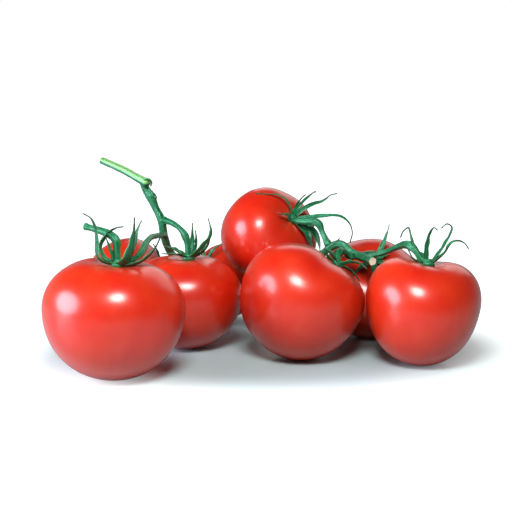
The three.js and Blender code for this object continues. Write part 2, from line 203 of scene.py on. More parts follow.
def mixed(tree, share, first, second):
    # two colours mixed: a mix node keeps its colours in sockets 6 and 7, and gives the third output
    node = tree.nodes.new("ShaderNodeMix")
    node.data_type = "RGBA"
    plug(tree, node.inputs[0], share)
    for socket, value in ((node.inputs[6], first), (node.inputs[7], second)):
        plug(tree, socket, value)
    return node.outputs[2]


def maths(tree, operation, a, b=0.0, clamped=False):
    node = newNode(tree, "ShaderNodeMath", at0=a, at1=b)
    node.operation = operation
    node.use_clamp = clamped
    return node.outputs[0]


def times(tree, a, b):
    return maths(tree, "MULTIPLY", a, b)


def spanOf(tree, value, low, high):
    # a value from 0 to 1 stretched between two others
    return newNode(tree, "ShaderNodeMapRange", at0=value, at3=low, at4=high).outputs[0]


def rangeOf(tree, value, span):
    # a node that gives 0 at the start of a span and 1 at its end
    return newNode(tree, "ShaderNodeMapRange", at0=value, at1=span[0], at2=span[1])


def noiseOf(tree, place, scale, detail=2.0):
    return newNode(tree, "ShaderNodeTexNoise", Vector=place, Scale=scale, Detail=detail).outputs["Fac"]


def fieldOf(tree, name, output="Fac"):
    node = tree.nodes.new("ShaderNodeAttribute")
    node.attribute_name = name
    return node.outputs[output]


def newGroup(name, numbers):
    # an empty group that takes a place and some numbers, and gives a mask
    group = bpy.data.node_groups.new(name, "ShaderNodeTree")
    group.interface.new_socket("Place", in_out="INPUT", socket_type="NodeSocketVector")
    for number in numbers:
        group.interface.new_socket(number, in_out="INPUT", socket_type="NodeSocketFloat")
    group.interface.new_socket("Mask", in_out="OUTPUT", socket_type="NodeSocketFloat")
    return group, group.nodes.new("NodeGroupInput").outputs, group.nodes.new("NodeGroupOutput").inputs


# how much the fine noise counts in the mottle, and the greys that it stretches to 0 and 1
mottleShape = dict(fineShare=0.4, low=0.36, high=0.64)


def mottleGroup():
    # soft blotches of two sizes on a piece, from 0 to 1
    group, given, out = newGroup("mottle", ("Coarse", "Fine"))
    coarse = noiseOf(group, given["Place"], given["Coarse"], 2.0)
    fine = noiseOf(group, given["Place"], given["Fine"], 4.0)
    both = mixed(group, mottleShape["fineShare"], coarse, fine)
    stretched = rangeOf(group, both, (mottleShape["low"], mottleShape["high"]))
    group.links.new(stretched.outputs[0], out["Mask"])
    return group


def speckleGroup():
    # small scattered dots, where Share is how many of the cells hold one
    group, given, out = newGroup("speckle", ("Scale", "Size", "Share"))
    cells = newNode(group, "ShaderNodeTexVoronoi", Vector=given["Place"], Scale=given["Scale"])
    dot = maths(group, "DIVIDE", cells.outputs["Distance"], given["Size"])
    dot = maths(group, "SUBTRACT", 1.0, dot, clamped=True)
    pick = newNode(group, "ShaderNodeSeparateColor", Color=cells.outputs["Color"])
    chosen = maths(group, "LESS_THAN", pick.outputs[0], given["Share"])
    group.links.new(times(group, dot, chosen), out["Mask"])
    return group


mottle = mottleGroup()
speckle = speckleGroup()


def maskOf(tree, group, **values):
    node = tree.nodes.new("ShaderNodeGroup")
    node.node_tree = group
    for name, value in values.items():
        plug(tree, node.inputs[name], value)
    return node.outputs["Mask"]


def newFinish(name):
    finish = bpy.data.materials.new(name)
    finish.use_nodes = True
    tree = finish.node_tree
    shader = tree.nodes["Principled BSDF"]
    place = tree.nodes.new("ShaderNodeTexCoord").outputs["Object"]
    return finish, tree, shader, place


def setFlesh(shader, weight, reach, scale):
    # light that goes into the piece and out again, where reach is how far each colour goes
    shader.inputs["Subsurface Weight"].default_value = weight
    shader.inputs["Subsurface Radius"].default_value = reach
    shader.inputs["Subsurface Scale"].default_value = scale


ripeSkin = dict(
    red=(0.6, 0.013, 0.003), orange=(0.67, 0.034, 0.006), deep=(0.47, 0.006, 0.002),
    rim=(0.74, 0.24, 0.05), cork=(0.30, 0.20, 0.06), scar=(0.16, 0.06, 0.02), dots=(0.9, 0.16, 0.05),
    # coarse and fine scales of the mottles, and the scale, size and number of the dots
    blotches=(26.0, 70.0), streaks=(2.6, 9.0), dotPattern=(900.0, 0.28, 0.25),
    streakShare=0.3, dotShare=0.1, wander=0.018,
    # places from the calyx, 0, to the blossom end, 1, and how strong each colour is there
    # shoulder is a painted highlight: lighter orange streaks on the shoulders, where the ribs catch the
    # light
    shoulder=[(0.0, 0.0), (0.05, 0.6), (0.12, 0.5), (0.26, 0.0)],
    rimReach=[(0.0, 1.0), (0.03, 0.8), (0.05, 0.15), (0.09, 0.0)],
    corkReach=[(0.0, 1.0), (0.022, 0.8), (0.04, 0.0)],
    scarReach=[(0.0, 0.0), (0.984, 0.0), (0.992, 0.9), (1.0, 1.0)],
    roughness=(0.32, 0.4), rimRoughness=0.3, gloss=0.26, coat=0.8, coatRoughness=0.23,
    flesh=0.1, fleshReach=(1.0, 0.25, 0.12), fleshScale=0.003,
    pores=900.0, poreDepth=0.05, swells=60.0, bump=0.12, bumpDepth=0.0006,
)


def tomatoSkin(values):
    finish, tree, shader, place = newFinish("tomatoSkin")
    coarse, fine = values["blotches"]
    blotch = maskOf(tree, mottle, Place=place, Coarse=coarse, Fine=fine)
    coarse, fine = values["streaks"]
    streak = maskOf(tree, mottle, Place=fieldOf(tree, "meridian", "Vector"), Coarse=coarse, Fine=fine)
    colour = mixed(tree, blotch, values["red"], values["orange"])
    colour = mixed(tree, times(tree, streak, values["streakShare"]), colour, values["deep"])
    scale, size, count = values["dotPattern"]
    dots = maskOf(tree, speckle, Place=place, Scale=scale, Size=size, Share=count)
    colour = mixed(tree, times(tree, dots, values["dotShare"]), colour, values["dots"])
    wander = times(tree, maths(tree, "SUBTRACT", streak, 0.5), values["wander"])
    near = maths(tree, "ADD", fieldOf(tree, "fromCalyx"), wander)
    # a painted highlight: lighter orange streaks on the shoulders round the calyx, where the ribs catch the
    # light
    shoulder = times(tree, rampOf(tree, near, values["shoulder"]), streak)
    colour = mixed(tree, shoulder, colour, values["orange"])
    rim = rampOf(tree, near, values["rimReach"])
    colour = mixed(tree, rim, colour, values["rim"])
    colour = mixed(tree, rampOf(tree, near, values["corkReach"]), colour, values["cork"])
    colour = mixed(tree, rampOf(tree, near, values["scarReach"]), colour, values["scar"])
    tree.links.new(colour, shader.inputs["Base Color"])
    rough = spanOf(tree, blotch, *values["roughness"])
    rough = maths(tree, "ADD", rough, times(tree, rim, values["rimRoughness"]))
    tree.links.new(rough, shader.inputs["Roughness"])
    shader.inputs["Specular IOR Level"].default_value = values["gloss"]
    shader.inputs["Coat Weight"].default_value = values["coat"]
    shader.inputs["Coat Roughness"].default_value = values["coatRoughness"]
    setFlesh(shader, values["flesh"], values["fleshReach"], values["fleshScale"])
    pores = times(tree, noiseOf(tree, place, values["pores"]), values["poreDepth"])
    height = maths(tree, "ADD", pores, noiseOf(tree, place, values["swells"]))
    bump = newNode(
        tree, "ShaderNodeBump", Height=height, Strength=values["bump"], Distance=values["bumpDepth"]
    )
    tree.links.new(bump.outputs["Normal"], shader.inputs["Normal"])
    return finish


leafGreen = dict(
    dark=(0.001, 0.035, 0.010), green=(0.008, 0.14, 0.042), light=(0.06, 0.38, 0.18),
    # the two pale greens paint the lit upper side of a stem, and the margin green paints a highlight along
    # blade edges
    margin=(0.09, 0.36, 0.14), dry=(0.05, 0.07, 0.035), pale=(0.20, 0.50, 0.13), paintedTopLightBright=(0.34, 0.66, 0.21),
    pith=(0.95, 0.97, 0.80), pithShade=(0.84, 0.90, 0.62),
    # coarse and fine scales of the mottles, and how strongly each thing tells
    fibres=(0.9, 3.4), blotches=(110.0, 700.0), blotchShare=0.35, ridgeHighlightShare=0.5, paintedUnderShadeShare=0.55,
    # places from the middle of a blade, 0, to its edge, 1, then along it, then into a cut end
    # the edge ramp paints a highlight along blade edges, where the curled edges catch the light
    edgeHighlightReach=[(0.0, 0.0), (0.72, 0.0), (1.0, 0.7)],
    dryReach=[(0.0, 0.0), (0.55, 0.0), (0.8, 0.55), (1.0, 0.95)],
    cutReach=[(0.35, 0.0), (0.6, 1.0)],
    pithScale=1500.0, roughness=(0.26, 0.42), gloss=0.75, glossTint=(0.4, 1.0, 0.75, 1.0),
    flesh=0.08, fleshReach=(0.4, 1.0, 0.3), fleshScale=0.0008,
    grain=2600.0, grainDepth=0.6, bump=0.5, bumpDepth=0.00025,
)
stalkGreen = dict(leafGreen, dark=(0.001, 0.036, 0.011), green=(0.006, 0.135, 0.04))


def greenTissue(name, values):
    # sepals and stems: run follows the surface lengthwise, tip dries towards a blade's end
    finish, tree, shader, place = newFinish(name)
    coarse, fine = values["fibres"]
    fibre = maskOf(tree, mottle, Place=fieldOf(tree, "run", "Vector"), Coarse=coarse, Fine=fine)
    coarse, fine = values["blotches"]
    blotch = maskOf(tree, mottle, Place=place, Coarse=coarse, Fine=fine)
    colour = mixed(tree, fibre, values["dark"], values["green"])
    colour = mixed(tree, times(tree, blotch, values["blotchShare"]), colour, values["light"])
    # a painted highlight: ridges, veins and lobes mixed toward the light green
    colour = mixed(tree, times(tree, fieldOf(tree, "ridge"), values["ridgeHighlightShare"]), colour, values["light"])
    # painted shade: the undersides of stems and blades darkened as if in shade
    colour = mixed(tree, times(tree, fieldOf(tree, "under"), values["paintedUnderShadeShare"]), colour, values["dark"])
    # a painted highlight: blade edges mixed toward the lighter margin green
    edge = rampOf(tree, fieldOf(tree, "edge"), values["edgeHighlightReach"])
    colour = mixed(tree, edge, colour, values["margin"])
    dry = rampOf(tree, fieldOf(tree, "tip"), values["dryReach"])
    colour = mixed(tree, dry, colour, values["dry"])
    # a painted highlight: the lit upper side of a pale stem, in two pale greens
    flank = mixed(tree, fibre, values["pale"], values["paintedTopLightBright"])
    colour = mixed(tree, fieldOf(tree, "pale"), colour, flank)
    pith = mixed(tree, noiseOf(tree, place, values["pithScale"]), values["pith"], values["pithShade"])
    cut = rampOf(tree, fieldOf(tree, "cut"), values["cutReach"])
    colour = mixed(tree, cut, colour, pith)
    tree.links.new(colour, shader.inputs["Base Color"])
    tree.links.new(spanOf(tree, blotch, *values["roughness"]), shader.inputs["Roughness"])
    setFlesh(shader, values["flesh"], values["fleshReach"], values["fleshScale"])
    shader.inputs["Specular IOR Level"].default_value = values["gloss"]
    shader.inputs["Specular Tint"].default_value = values["glossTint"]
    grain = times(tree, noiseOf(tree, place, values["grain"]), values["grainDepth"])
    height = maths(tree, "ADD", fibre, grain)
    bump = newNode(
        tree, "ShaderNodeBump", Height=height, Strength=values["bump"], Distance=values["bumpDepth"]
    )
    tree.links.new(bump.outputs["Normal"], shader.inputs["Normal"])
    return finish


hairTint = dict(
    shade=(0.04, 0.26, 0.10), light=(0.16, 0.44, 0.2), scale=300.0, roughness=0.6, gloss=0.15,
)


def hairTissue(values):
    finish, tree, shader, place = newFinish("stemHair")
    colour = mixed(tree, noiseOf(tree, place, values["scale"]), values["shade"], values["light"])
    tree.links.new(colour, shader.inputs["Base Color"])
    shader.inputs["Roughness"].default_value = values["roughness"]
    shader.inputs["Specular IOR Level"].default_value = values["gloss"]
    return finish


skinFinish = tomatoSkin(ripeSkin)
calyxFinish = greenTissue("calyxGreen", leafGreen)
vineFinish = greenTissue("vineGreen", stalkGreen)
hairFinish = hairTissue(hairTint)
print("finishes made")


# Tomatoes, as in the solids: at is where each stands, axis the way its body points, calyx the way
# its calyx points, and lift how far its lowest point is off the table

fruits = {
    1: dict(
        at=[-86, -65], radius=38.5, height=67, axis=[0.08, -0.03, 1], calyx=[0.1, -0.03, 1],
        hollow=4.6, ribs=5, ribDepth=0.008, oval=0.008, lift=0,
    ),
    2: dict(
        at=[-51, 3.9], radius=33.8, height=59, axis=[0.04, 0, 1], calyx=[0.06, 0, 1],
        hollow=4, ribs=6, ribDepth=0.01, oval=0.01, lift=0,
    ),
    3: dict(
        at=[-95, 57.5], radius=30.6, height=54, axis=[0.85, -0.3, 0.32], calyx=[0.85, -0.3, 0.32],
        hollow=3.6, ribs=5, ribDepth=0.01, oval=0.01, lift=0,
    ),
    4: dict(
        at=[-0.6, 37], radius=30.5, height=57, axis=[0.52, -0.7, 0.49], calyx=[0.62, -0.58, 0.53],
        hollow=4, ribs=5, ribDepth=0.012, oval=0.01, lift=35.8,
    ),
    5: dict(
        at=[18.2, -22.8], radius=36.2, height=66.8, axis=[0.4, 0.04, 0.91], calyx=[0.7, 0.08, 0.71],
        hollow=4.4, ribs=5, ribDepth=0.02, oval=0.012, lift=0,
    ),
    6: dict(
        at=[89.2, -35], radius=32.8, height=63.6, axis=[0.1, 0, 1], calyx=[0.11, 0, 1],
        hollow=6, ribs=2, ribDepth=0.045, oval=-0.01, lift=0,
    ),
    7: dict(
        at=[66.9, 36.2], radius=34, height=58.8, axis=[0, -0.6, 0.8], calyx=[0, -0.6, 0.8],
        hollow=4, ribs=5, ribDepth=0.012, oval=0.012, lift=0,
    ),
    8: dict(
        at=[-29, 92], radius=28, height=48.5, axis=[-0.5, -0.4, 0.75], calyx=[-0.6, -0.4, 0.7],
        hollow=3.4, ribs=5, ribDepth=0.012, oval=0.012, lift=0,
    ),
}

skinShape = dict(
    squareness=2.2, shoulder=0.13, hollowWidth=0.38, ribAt=0.7, ribReach=0.55, footDepth=0.3,
    # of the visible skin alone: how fine it is, its pip, its pleats, its swells and its blossom scar
    rings=128, sides=180, crowding=0.06, pip=0.85, pipWidth=0.1,
    pleats=11, pleatDepth=0.1, pleatAt=0.3, pleatWidth=0.2, swell=0.16, scar=0.5, scarWidth=0.1,
)
calyxRise = 1.1  # of a calyx off the middle of its hollow
coarseRings = (60, 96)  # of the coarser skin that says how low a fruit reaches


def skinDistance(fruit, way):
    # how far the skin is from the middle, as in the solids: a body squarer than an ellipse and
    # fuller above, ribbed on its shoulder, a little out of round, and hollow under its calyx
    way = unit(way)
    lean = np.arccos(np.clip(way @ fruit["bodyWay"], -1, 1))
    power = skinShape["squareness"]
    across = (np.sin(lean) / fruit["radius"]) ** power
    along = (np.abs(np.cos(lean)) * 2 / fruit["height"]) ** power
    body = (across + along) ** (-1 / power) * (1 + skinShape["shoulder"] * np.cos(lean) * np.sin(lean) ** 2)
    angle = np.arccos(np.clip(way[..., 2], -1, 1))
    around = np.arctan2(way[..., 1], way[..., 0])
    rib = fruit["ribDepth"] * bell(angle - skinShape["ribAt"], skinShape["ribReach"])
    oval = fruit["oval"] * np.sin(angle) * np.cos(2 * around)
    body = body * (1 + rib * np.cos(fruit["ribs"] * around) + oval)
    return body - fruit["hollow"] * bell(angle, skinShape["hollowWidth"])


def skinWays(rings, sides):
    # directions from the calyx's pole to the other, crowded near both
    share = np.linspace(0, 1, rings + 1)[1:-1, None]
    angle = np.pi * (share - skinShape["crowding"] * np.sin(2 * np.pi * share))
    around = turnsRound(sides)
    way = stacked(np.sin(angle) * np.cos(around), np.sin(angle) * np.sin(around), np.cos(angle))
    return way, angle, around


for fruit in fruits.values():
    fruit["stand"] = uprightTo(fruit["calyx"])
    fruit["bodyWay"] = fruit["stand"].T @ unit(fruit["axis"])
    way, angle, around = skinWays(*coarseRings)
    lowest = ((way * skinDistance(fruit, way)[..., None]) @ fruit["stand"].T)[..., 2].min()
    foot = 0 if fruit["lift"] > 0 else skinShape["footDepth"]
    fruit["middle"] = np.array([*fruit["at"], fruit["lift"] - foot - lowest])
    up = np.array([0.0, 0.0, 1.0])
    fruit["calyxAt"] = unit(fruit["calyx"]) * (skinDistance(fruit, up) + calyxRise) + fruit["middle"]


def clearOfFruits(line, margin):
    # moves points of a line out of every fruit, so that they lie at least a margin off the skin
    for fruit in fruits.values():
        away = line - fruit["middle"]
        reach = np.linalg.norm(away, axis=1)
        least = skinDistance(fruit, away @ fruit["stand"]) + margin
        line = fruit["middle"] + away * np.maximum(1, least / reach)[:, None]
    return line


def tomatoSurface(fruit, key):
    # the solids' skin, finer, with a woody pip and fine pleats at the calyx, faint swells and a
    # blossom scar
    shape = skinShape
    way, angle, around = skinWays(shape["rings"], shape["sides"])
    x, y, z = way[..., 0], way[..., 1], way[..., 2]
    reach = skinDistance(fruit, way) + shape["pip"] * bell(angle, shape["pipWidth"])
    pleat = shape["pleatDepth"] * bell(angle - shape["pleatAt"], shape["pleatWidth"])
    reach = reach + pleat * np.cos(shape["pleats"] * around + key)
    swell = np.sin(3 * x + key) * np.sin(2.6 * y + 2 * key) + np.sin(4 * z + 3 * y + key)
    reach = reach + shape["swell"] * swell * np.sin(angle)
    reach = reach - shape["scar"] * bell(np.pi - angle, shape["scarWidth"])
    grid = (way * reach[..., None]) @ fruit["stand"].T + fruit["middle"]
    if fruit["lift"] == 0:
        # a small flat foot where it stands
        grid[..., 2] = np.maximum(grid[..., 2], 0)
    start = fruit["stand"] @ np.array([0, 0, reach[0].mean()]) + fruit["middle"]
    end = fruit["stand"] @ np.array([0, 0, -reach[-1].mean()]) + fruit["middle"]
    meridian = stacked(np.cos(around), np.sin(around), 0.25 * angle + key)
    return surfaceOf(grid, start, end, fromCalyx=angle / np.pi, meridian=meridian)


for key, fruit in fruits.items():
    makePiece(f"tomato{key}", [tomatoSurface(fruit, key)], skinFinish, [f"fruit_{key}"])
print("tomatoes made")


# Stems, as in the solids: each row is a place and a radius, and knuckle counts spans from the calyx.
# The last two rows of the rachis, its cut end, lie a little away from the solid's.

mainStem = [
    [-105.5, 30, 115.3, 2.2],
    [-90, 21, 109.4, 2.3],
    [-80, 14.8, 104.6, 2.5],
    [-75, 12, 102.4, 2.8],
]
rachis = [
    [-77.6, 14, 103, 2.2],
    [-75.8, 15, 98, 2.5],
    [-72.9, 14.3, 93.4, 3],
    [-70, 13.2, 86.6, 2.2],
    [-66.6, 12, 79.8, 2.5],
    [-65.2, 14, 69.3, 2.4],
    [-62.4, 26, 57, 2.3],
    [-55, 37, 48, 2.2],
    [-40, 40, 42, 2.2],
    [-19, 34, 32, 2.1],
    [4, 25, 26, 2.1],
    [22, 19, 36, 2.1],
    [31, 11, 52, 2.1],
    [35, 6.5, 59.8, 2.2],
    [44, 3, 65.4, 2.5],
    [52, -1, 60.2, 2.5],
    [59.2, -6, 57.8, 2.5],
    [62.6, -14, 57.2, 2.5],
]
stalks = {
    1: dict(knuckle=2.5, points=[
        [-75, -63, 66, 1.6], [-72, -59, 67.8, 1.6], [-70.4, -52, 69.8, 1.9], [-69.8, -44, 72.4, 1.7],
        [-68.4, -35, 74.2, 1.6], [-67, -18, 73, 1.6], [-65.3, 8, 70.4, 1.7], [-65, 13, 69.4, 1.8],
    ]),
    2: dict(knuckle=2, points=[
        [-49.8, 3.9, 65, 1.7], [-51, 4, 70.2, 2.1], [-54.6, 6, 74.8, 1.6], [-60, 9, 78, 1.7],
        [-66, 12, 79.4, 2],
    ]),
    3: dict(knuckle=1, points=[
        [-66.5, 45.5, 44, 2.1], [-62, 39.5, 48.6, 1.8], [-56, 36.5, 49, 1.8],
    ]),
    4: dict(knuckle=3, points=[
        [18.6, 17.6, 78.2, 1.8], [23.2, 14, 78, 1.8], [28.6, 11.2, 78.4, 2.1], [31.8, 10, 76.6, 2.3],
        [33.6, 9, 72.4, 1.7], [37.4, 5, 64.6, 1.8],
    ]),
    5: dict(knuckle=1.5, points=[
        [41.2, -16.4, 61, 2.1], [43.6, -12, 63.2, 2], [46.6, -8, 61.8, 1.7], [49, -4.5, 59.4, 1.7],
        [52, -3, 58.6, 1.7],
    ]),
    6: dict(knuckle=3.5, points=[
        [88.2, -33.5, 61.6, 1.8], [85.9, -32.4, 65.2, 1.9], [83.4, -30, 68.2, 2.3], [81.2, -25, 69, 2.3],
        [77.3, -17, 66.6, 1.8], [72.2, -8, 62.5, 1.5], [66.5, -3.5, 59.9, 1.5], [60, -3, 58.6, 1.5],
        [54, -2.5, 59, 1.6],
    ]),
    7: dict(knuckle=1, points=[
        [66, 12, 57.4, 2.2], [63, 6, 59, 1.8], [55.5, -2, 58.8, 1.7],
    ]),
    8: dict(knuckle=1, points=[
        [-50, 52.5, 45.2, 2.2], [-49.5, 46, 45.6, 1.8], [-46.5, 39.5, 44.6, 1.8],
    ]),
}
prunedTip = [
    [-82.9, -65, 63.5, 1.9],
    [-83.2, -65, 71, 1.9],
    [-83.7, -64.4, 76.8, 2.4],
    [-87, -63, 79.7, 2.2],
    [-92, -61, 81.5, 2],
    [-97.8, -58.6, 82.8, 1.7],
    [-101.6, -57, 83.6, 2.1],
]

# the strip of skin that curls round the main stem's lower end, which the solids don't have
peel = [
    [-76.6, 9.4, 104.7, 0.5],
    [-74.8, 9.2, 105.3, 0.6],
    [-73.0, 9.6, 104.6, 0.6],
    [-72.1, 10.4, 102.8, 0.6],
    [-72.6, 11.4, 100.9, 0.5],
]

# the stub of a bract on the rachis, which the solids don't have either
bractStub = [
    [-73.2, 14.2, 94.6, 1.5],
    [-71.4, 13.9, 93.8, 2.0],
    [-70.5, 13.6, 93.2, 1.4],
]

stemShape = dict(
    sides=30, stepsPerSpan=14, fewestSteps=12, ridges=5, ridgeDepth=0.06, ribs=13, ribDepth=0.022,
    wind=0.035, grainLength=0.12, forkFlare=0.34, forkAt=2.2, forkReach=1.7,
    jointGap=0.16, jointSwell=0.14, jointReach=2.4, lumps=0.035, lumpTurns=(0.55, 0.23),
    stalkTop=1.9, hairsPerMillimetre=6,
)
startAside = np.array([0.31, 0.2, 0.93])  # a way that no stem runs along
# painted light and shade on a pale stem: how steeply its flank is painted lighter upwards, and the darker
# line painted near its top
paintedTopLightFlank = dict(slope=3.0, low=0.5, lineAt=0.66, lineWidth=0.15, lineDepth=0.6)

# sepals and stalk leave it at shares of its height, and its edge is lobed at each sepal
receptacle = dict(
    radius=3.6, height=2.4, sepalsAt=0.45, stalkAt=0.4, sepalRoot=1.6, sides=72, lobes=0.12, sharpness=6,
)
hairRoots = []  # bases and directions of the fine hairs, gathered from the stems

# how each kind of end closes: shares of the last ring's size, and pushes outwards
endSteps = dict(
    healed=[(0.98, 0.3), (0.88, 0.75), (0.68, 1.1), (0.35, 1.3)],
    cut=[(0.985, 0.1), (0.93, 0.16), (0.9, 0.13), (0.62, 0.04), (0.3, -0.04)],
    joint=[(0.97, 0.07), (0.86, 0.13), (0.6, 0.16), (0.3, 0.17)],
    buried=[(0.7, 0.5), (0.4, 0.8)],
)


def capRings(ring, way, steps):
    # the rings that close an end, from the stem's last one outwards
    middle = ring.mean(0)
    return [middle + (ring - middle) * share + way * push for share, push in steps]


def stemRadius(rows, u, run, ends, seed, flared):
    # the rows' own radius, a little lumpy, thicker at a knuckle and where it forks from another stem
    shape = stemShape
    counted = np.stack([np.arange(len(rows)), rows[:, 3], np.zeros(len(rows))], -1)
    radius = alongCurve(counted, u)[:, 1]
    if flared:
        fromFork = np.maximum(run[-1] - run - shape["forkAt"], 0)
        radius = radius * (1 + shape["forkFlare"] * np.exp(-fromFork / shape["forkReach"]))
    slow, slower = shape["lumpTurns"]
    radius = radius * (1 + shape["lumps"] * np.sin(run * slow + seed) * np.sin(run * slower + 2 * seed))
    for end, fromJoint in zip(ends, (run, run[-1] - run)):
        if end == "joint":
            radius = radius * (1 + shape["jointSwell"] * bell(fromJoint, shape["jointReach"]))
    return radius


def stemSurface(points, first=0.0, last=None, ends=("buried", "buried"), seed=0, pale=0.0, flared=False):
    # a ring carried along a curve: five soft ridges and fine ribs that wind slowly, closed at each
    # end as its name says
    shape = stemShape
    last = len(points) - 1.0 if last is None else last
    u = np.linspace(first, last, max(shape["fewestSteps"], int((last - first) * shape["stepsPerSpan"])))
    rows = np.asarray(points, float)
    line = alongCurve(rows[:, :3], u)
    run = np.concatenate([[0], np.cumsum(np.linalg.norm(np.diff(line, axis=0), axis=1))])
    radius = stemRadius(rows, u, run, ends, seed, flared)[:, None]
    along, side, other = carriedFrame(line, startAside)
    turn = turnsRound(shape["sides"])
    wind = run[:, None] * shape["wind"] + seed
    crest = np.cos(shape["ridges"] * turn + 2 * wind)
    rib = np.cos(shape["ribs"] * turn - 3 * wind)
    reach = radius * (1 + shape["ridgeDepth"] * crest + shape["ribDepth"] * rib)
    outward = side[:, None] * np.cos(turn)[..., None] + other[:, None] * np.sin(turn)[..., None]
    grid = line[:, None] + outward * reach[..., None]
    body = stacked(np.cos(turn) * radius, np.sin(turn) * radius, run[:, None] * shape["grainLength"])

    # painted light and shade: a pale stem's upper side is painted light as if lit from above and its
    # underside dark as if in shade, with a darker line painted near its top edge
    up = outward[..., 2]
    flank = np.clip(up * paintedTopLightFlank["slope"] + paintedTopLightFlank["low"], 0, 1)
    flank = flank * (1 - paintedTopLightFlank["lineDepth"] * bell(up - paintedTopLightFlank["lineAt"], paintedTopLightFlank["lineWidth"]))
    # the ridges are painted lighter, a painted highlight where they catch the light
    fields = dict(
        ridge=np.clip(0.5 * crest + 0.3 * rib, 0, 1), pale=pale * flank,
        under=pale * np.clip(-paintedTopLightFlank["slope"] * up, 0, 1), run=body,
    )

    random = np.random.default_rng(seed * 7 + 3)
    hairs = int(run[-1] * shape["hairsPerMillimetre"])
    ring, place = random.integers(0, [[len(line)], [shape["sides"]]], (2, hairs))
    hairRoots.append((grid[ring, place], outward[ring, place], along[ring]))

    starts = capRings(grid[0], -along[0], endSteps[ends[0]])[::-1]
    finishes = capRings(grid[-1], along[-1], endSteps[ends[1]])
    before, behind = len(starts), len(finishes)
    grid = np.concatenate([np.array(starts), grid, np.array(finishes)])
    for name, values in fields.items():
        firsts, lasts = np.repeat(values[:1], before, 0), np.repeat(values[-1:], behind, 0)
        fields[name] = np.concatenate([firsts, values, lasts])
    cut = np.zeros(grid.shape[:2])
    if ends[0] == "cut":
        cut[: before - 1] = 1
    if ends[1] == "cut":
        cut[-behind + 1 :] = 1
    return surfaceOf(grid, grid[0].mean(0), grid[-1].mean(0), cut=cut, **fields)


def stalkPoints(key):
    fruit = fruits[key]
    top = np.array([0, 0, receptacle["height"] * receptacle["stalkAt"]])
    top = fruit["stand"] @ top + fruit["calyxAt"]
    return [[*top, stemShape["stalkTop"]], *stalks[key]["points"]]


def jointSpans(key):
    # where the knuckle's fine gap starts and ends, in spans
    points = np.array(stalkPoints(key))[:, :3]
    at = stalks[key]["knuckle"]
    span = np.linalg.norm(points[int(at) + 1] - points[int(at)])
    half = stemShape["jointGap"] / 2 / span
    return at - half, at + half


# Calyxes: turn is the way a sepal leaves, swing how far it turns aside, and rise its slope along its
# length, all in degrees. Three sepals of the fourth calyx have other widths than the solids' own.

